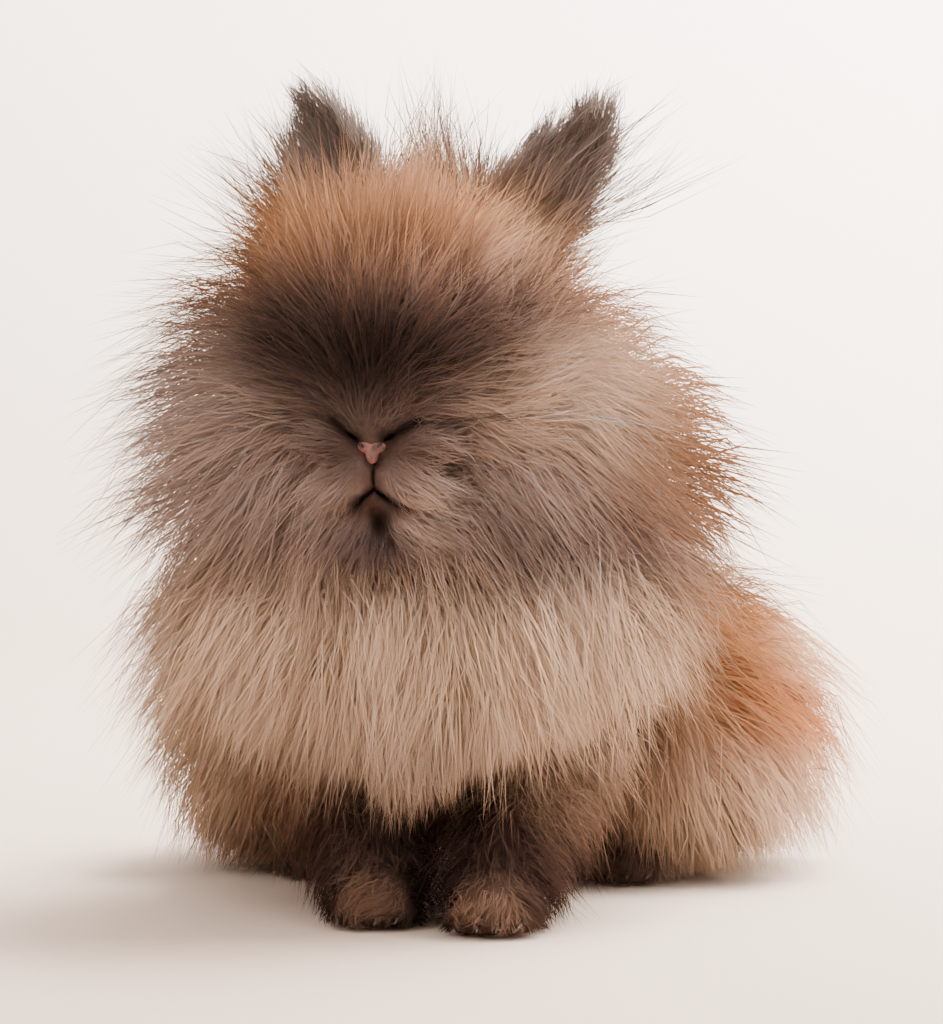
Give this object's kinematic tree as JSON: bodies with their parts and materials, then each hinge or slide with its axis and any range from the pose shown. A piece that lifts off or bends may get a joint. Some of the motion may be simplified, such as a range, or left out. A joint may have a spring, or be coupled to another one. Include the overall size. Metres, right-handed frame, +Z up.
{
  "type": "lionhead rabbit",
  "caption": "Life-size still model of a lionhead rabbit sitting upright, with woolly mane, cupped ears, bib and haunches on its soles.",
  "frame": {"origin": "on the floor, under the middle of the animal's overall box", "axes": "+Z up; -Y the way the rabbit looks; +X the rabbit's left side"},
  "size_m": [0.2148, 0.2877, 0.2296],
  "materials": {
    "brow_wool": "soft woolly coat, orange-tan over a dark sepia face",
    "ruff_wool": "long taupe wool of the mane",
    "bib_wool": "long cream-tan wool of the chest",
    "tan_wool": "tan-orange wool of the body",
    "dark_wool": "short dark brown fur of the legs",
    "ear_skin": "short grey-brown fur of the ears",
    "eye": "wet dark brown globe"
  },
  "bodies": {
    "root": {"eye_left": "eye", "eye_right": "eye", "ear_left": "ear_skin", "ear_right": "ear_skin", "head": "brow_wool", "neck": "ruff_wool", "chest": "bib_wool", "torso": "tan_wool", "foreleg_left": "dark_wool", "foreleg_right": "dark_wool", "hindleg_left": "tan_wool", "hindleg_right": "tan_wool", "tail": "tan_wool"}
  },
  "joints": []
}
